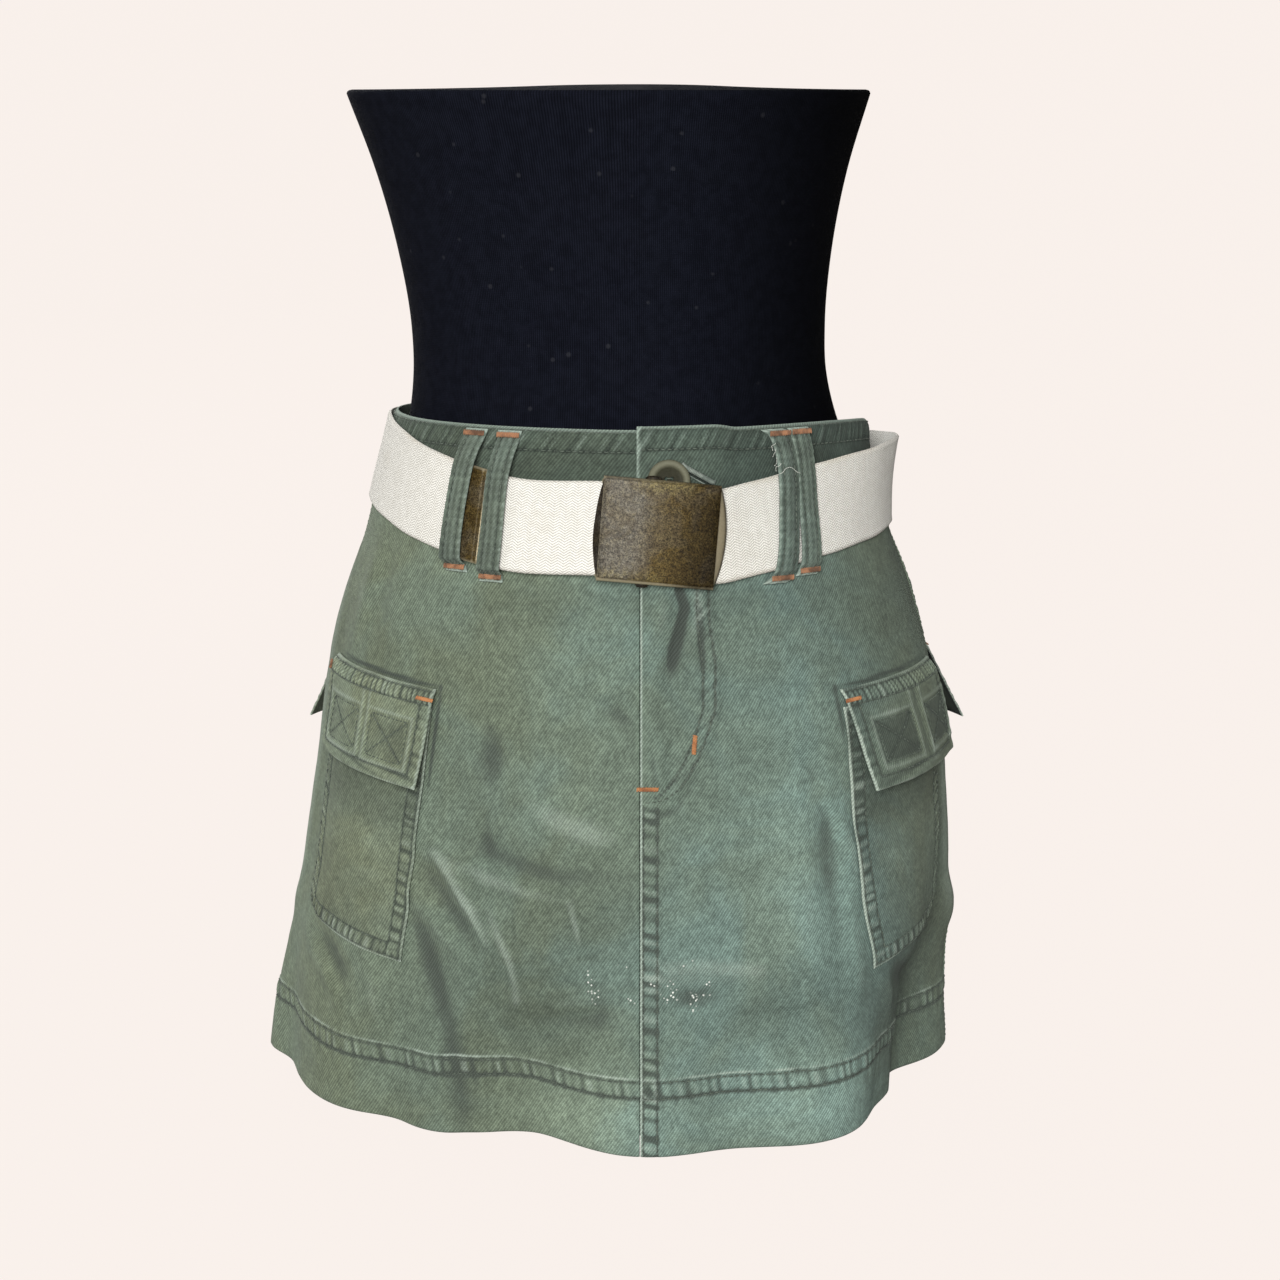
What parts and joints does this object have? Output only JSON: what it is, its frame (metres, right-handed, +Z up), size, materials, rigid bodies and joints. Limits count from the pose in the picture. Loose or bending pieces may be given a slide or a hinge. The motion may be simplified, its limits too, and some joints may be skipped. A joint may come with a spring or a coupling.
{
  "type": "cargo utility skirt on a half dress form",
  "caption": "Short A-line cargo skirt of washed cotton twill with flapped patch pockets, doubled belt loops and its own plaque-buckle web belt, worn on a black half dress form",
  "frame": {"origin": "the middle of the underside of the form's base plate, on the surface that it stands on", "axes": "+Z up; the wearer faces -Y, so +X is the wearer's left and +Y points out of the back"},
  "size_m": [0.3887, 0.2878, 0.5333],
  "materials": {
    "twill": "washed and worn army green cotton twill",
    "twill_patch": "the same twill, a shade darker where it is doubled",
    "web": "cream cotton webbing with rolled edges",
    "antique_brass": "antiqued, mottled, brighter along its edges",
    "button": "olive, with a raised rim",
    "jersey": "near-black ribbed jersey",
    "stand_paint": "plain black"
  },
  "bodies": {
    "root": {"waistband": "twill", "front_left": "twill", "front_right": "twill", "back_left": "twill", "back_right": "twill", "cargo_pocket_right": "twill_patch", "cargo_pocket_left": "twill_patch", "cargo_flap_right": "twill_patch", "cargo_flap_left": "twill_patch", "back_pocket_right": "twill_patch", "back_pocket_left": "twill_patch", "back_flap_right": "twill_patch", "back_flap_left": "twill_patch", "belt_loop_front_right_outer": "twill", "belt_loop_front_right_inner": "twill", "belt_loop_front_left_inner": "twill", "belt_loop_front_left_outer": "twill", "belt_loop_back_left_outer": "twill", "belt_loop_back_left_inner": "twill", "belt_loop_back_right_inner": "twill", "belt_loop_back_right_outer": "twill", "belt_web": "web", "belt_tip": "antique_brass", "belt_buckle": "antique_brass", "waist_button": "button", "form_body": "jersey", "form_post": "stand_paint", "form_base": "stand_paint"}
  },
  "joints": []
}
